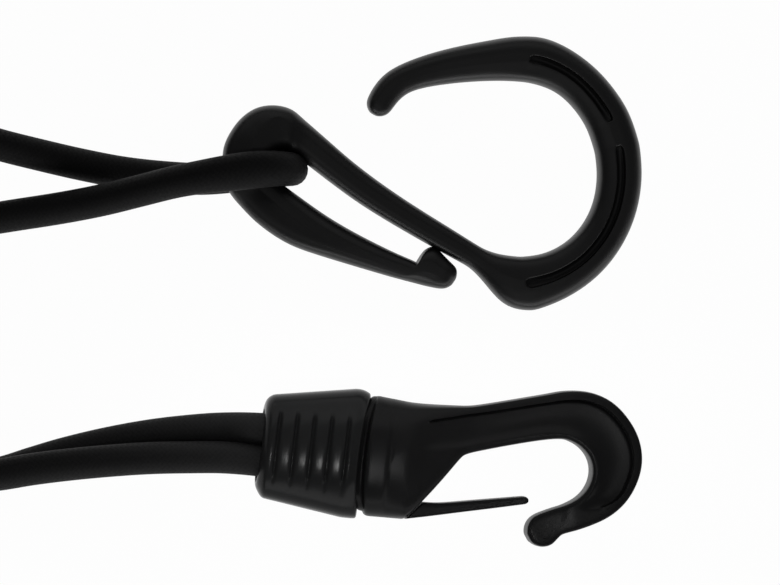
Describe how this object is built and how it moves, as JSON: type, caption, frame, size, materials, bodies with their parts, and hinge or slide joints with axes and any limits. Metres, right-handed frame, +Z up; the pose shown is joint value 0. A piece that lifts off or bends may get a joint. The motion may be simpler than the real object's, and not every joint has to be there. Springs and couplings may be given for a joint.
{
  "type": "elastic cargo net",
  "caption": "Square elastic cord cargo net with clipped crossings; an open hook with a sprung latch and a capped snap hook on elastic legs at opposite sides.",
  "frame": {"origin": "middle of the net panel, on the surface it lies on", "axes": "+X across the net towards the right pair of hooks, +Y along the right border towards the open hook, +Z up"},
  "size_m": [0.547, 0.3088, 0.0177],
  "materials": {
    "shock_cord": "rubber core in a fine black woven cover",
    "hook": "satin black moulded nylon",
    "cap": "satin black moulded plastic, ribbed",
    "clip": "satin black moulded plastic",
    "ferrule": "plain crimped metal"
  },
  "bodies": {
    "net": {"border_cord": "shock_cord", "border_splice": "clip", "cross_clip_1_1": "clip", "cross_clip_1_2": "clip", "cross_clip_1_3": "clip", "cross_clip_2_1": "clip", "cross_clip_2_2": "clip", "cross_clip_2_3": "clip", "cross_clip_3_1": "clip", "cross_clip_3_2": "clip", "cross_clip_3_3": "clip", "edge_clip_back_1": "clip", "edge_clip_back_2": "clip", "edge_clip_back_3": "clip", "edge_clip_front_1": "clip", "edge_clip_front_2": "clip", "edge_clip_front_3": "clip", "edge_clip_left_1": "clip", "edge_clip_left_2": "clip", "edge_clip_left_3": "clip", "edge_clip_right_1": "clip", "edge_clip_right_2": "clip", "edge_clip_right_3": "clip", "eye_strand_back_left": "shock_cord", "eye_strand_back_right": "shock_cord", "eye_strand_front_left": "shock_cord", "eye_strand_front_right": "shock_cord", "leg_clamp_eye_left": "clip", "leg_clamp_eye_right": "clip", "leg_clamp_snap_left": "clip", "leg_clamp_snap_right": "clip", "snap_strand_lower_left": "shock_cord", "snap_strand_lower_right": "shock_cord", "snap_strand_upper_left": "shock_cord", "snap_strand_upper_right": "shock_cord", "warp_cord_1": "shock_cord", "warp_cord_2": "shock_cord", "warp_cord_3": "shock_cord", "weft_cord_1": "shock_cord", "weft_cord_2": "shock_cord", "weft_cord_3": "shock_cord"},
    "eye_loop_right": {"eye_loop_right": "shock_cord"},
    "eye_hook_right": {"eye_hook_right": "hook"},
    "eye_latch_right": {"eye_latch_right": "hook"},
    "snap_body_right": {"snap_body_right": "hook", "snap_ferrule_right": "ferrule"},
    "snap_gate_right": {"snap_gate_right": "hook"},
    "snap_cap_right": {"snap_cap_right": "cap"},
    "eye_loop_left": {"eye_loop_left": "shock_cord"},
    "eye_hook_left": {"eye_hook_left": "hook"},
    "eye_latch_left": {"eye_latch_left": "hook"},
    "snap_body_left": {"snap_body_left": "hook", "snap_ferrule_left": "ferrule"},
    "snap_gate_left": {"snap_gate_left": "hook"},
    "snap_cap_left": {"snap_cap_left": "cap"}
  },
  "joints": [
    {"name": "eye_stretch_right", "type": "slide", "parent": "net", "child": "eye_loop_right", "axis": [1, 0, 0], "range_m": [0, 0.045], "stiffness_N_per_m": 900, "deforming": ["eye_strand_front_right", "eye_strand_back_right"]},
    {"name": "eye_swing_right", "type": "hinge", "parent": "eye_loop_right", "child": "eye_hook_right", "pos_m": [0.21668, 0.02529, 0.0086], "axis": [0.0898, 0, 0.996], "range_deg": [-15, 60], "deforming": ["eye_loop_right"]},
    {"name": "eye_latch_flex_right", "type": "hinge", "parent": "eye_hook_right", "child": "eye_latch_right", "pos_m": [0.20588, 0.02425, 0.00957], "axis": [-0.0898, 0, -0.996], "range_deg": [0, 12], "stiffness_Nm_per_rad": 0.25},
    {"name": "snap_stretch_right", "type": "slide", "parent": "net", "child": "snap_body_right", "axis": [1, 0, 0], "range_m": [0, 0.045], "stiffness_N_per_m": 900, "deforming": ["snap_strand_upper_right", "snap_strand_lower_right"]},
    {"name": "snap_gate_flex_right", "type": "hinge", "parent": "snap_body_right", "child": "snap_gate_right", "pos_m": [0.23713, -0.02942, 0.00712], "axis": [0.0861, 0, 0.9963], "range_deg": [0, 25], "stiffness_Nm_per_rad": 0.08},
    {"name": "snap_cap_slide_right", "type": "slide", "parent": "snap_body_right", "child": "snap_cap_right", "axis": [-0.9925, 0.0872, 0.0858], "range_m": [0, 0.01], "deforming": ["snap_strand_upper_right", "snap_strand_lower_right"]},
    {"name": "eye_stretch_left", "type": "slide", "parent": "net", "child": "eye_loop_left", "axis": [-1, 0, 0], "range_m": [0, 0.045], "stiffness_N_per_m": 900, "deforming": ["eye_strand_front_left", "eye_strand_back_left"]},
    {"name": "eye_swing_left", "type": "hinge", "parent": "eye_loop_left", "child": "eye_hook_left", "pos_m": [-0.21668, -0.02529, 0.0086], "axis": [-0.0898, 0, 0.996], "range_deg": [-15, 60], "deforming": ["eye_loop_left"]},
    {"name": "eye_latch_flex_left", "type": "hinge", "parent": "eye_hook_left", "child": "eye_latch_left", "pos_m": [-0.20588, -0.02425, 0.00957], "axis": [0.0898, 0, -0.996], "range_deg": [0, 12], "stiffness_Nm_per_rad": 0.25},
    {"name": "snap_stretch_left", "type": "slide", "parent": "net", "child": "snap_body_left", "axis": [-1, 0, 0], "range_m": [0, 0.045], "stiffness_N_per_m": 900, "deforming": ["snap_strand_upper_left", "snap_strand_lower_left"]},
    {"name": "snap_gate_flex_left", "type": "hinge", "parent": "snap_body_left", "child": "snap_gate_left", "pos_m": [-0.23713, 0.02942, 0.00712], "axis": [-0.0861, 0, 0.9963], "range_deg": [0, 25], "stiffness_Nm_per_rad": 0.08},
    {"name": "snap_cap_slide_left", "type": "slide", "parent": "snap_body_left", "child": "snap_cap_left", "axis": [0.9925, -0.0872, 0.0858], "range_m": [0, 0.01], "deforming": ["snap_strand_upper_left", "snap_strand_lower_left"]}
  ]
}
